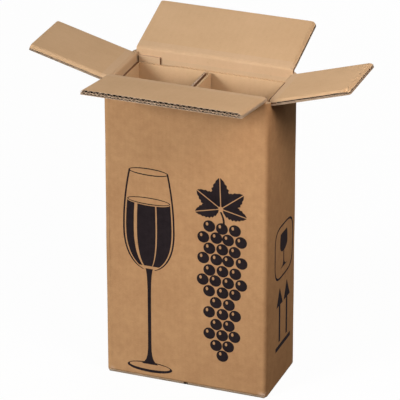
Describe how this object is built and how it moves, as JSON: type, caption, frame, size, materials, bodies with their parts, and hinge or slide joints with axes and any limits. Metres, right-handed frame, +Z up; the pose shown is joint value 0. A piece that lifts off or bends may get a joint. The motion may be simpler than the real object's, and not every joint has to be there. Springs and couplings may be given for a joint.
{
  "type": "bottle shipping box",
  "caption": "Tall folded carton of double-wall corrugated board with open hinged top flaps and a folded divider inside that makes upright bottle cells.",
  "frame": {"origin": "on the ground under the middle of the carton's base", "axes": "+Z up out of the open top, +X along the broad wall to the right, -Y out of the printed broad wall"},
  "size_m": [0.4118, 0.2666, 0.4332],
  "materials": {
    "carton_board": "matt natural kraft paper",
    "insert_board": "matt natural kraft paper"
  },
  "bodies": {
    "carton": {"carton_body": "carton_board", "bottle_insert": "insert_board"},
    "front_flap": {"front_flap": "carton_board"},
    "back_flap": {"back_flap": "carton_board"},
    "left_flap": {"left_flap": "carton_board"},
    "right_flap": {"right_flap": "carton_board"}
  },
  "joints": [
    {"name": "front_flap_fold", "type": "hinge", "parent": "carton", "child": "front_flap", "pos_m": [0, -0.051, 0.4], "axis": [1, 0, 0], "range_deg": [-171.5, 68.5]},
    {"name": "back_flap_fold", "type": "hinge", "parent": "carton", "child": "back_flap", "pos_m": [0, 0.051, 0.4], "axis": [-1, 0, 0], "range_deg": [-139.3, 79.2]},
    {"name": "left_flap_fold", "type": "hinge", "parent": "carton", "child": "left_flap", "pos_m": [-0.105, 0, 0.393], "axis": [0, -1, 0], "range_deg": [-165, 75]},
    {"name": "right_flap_fold", "type": "hinge", "parent": "carton", "child": "right_flap", "pos_m": [0.105, 0, 0.393], "axis": [0, 1, 0], "range_deg": [-163.2, 76.8]}
  ]
}
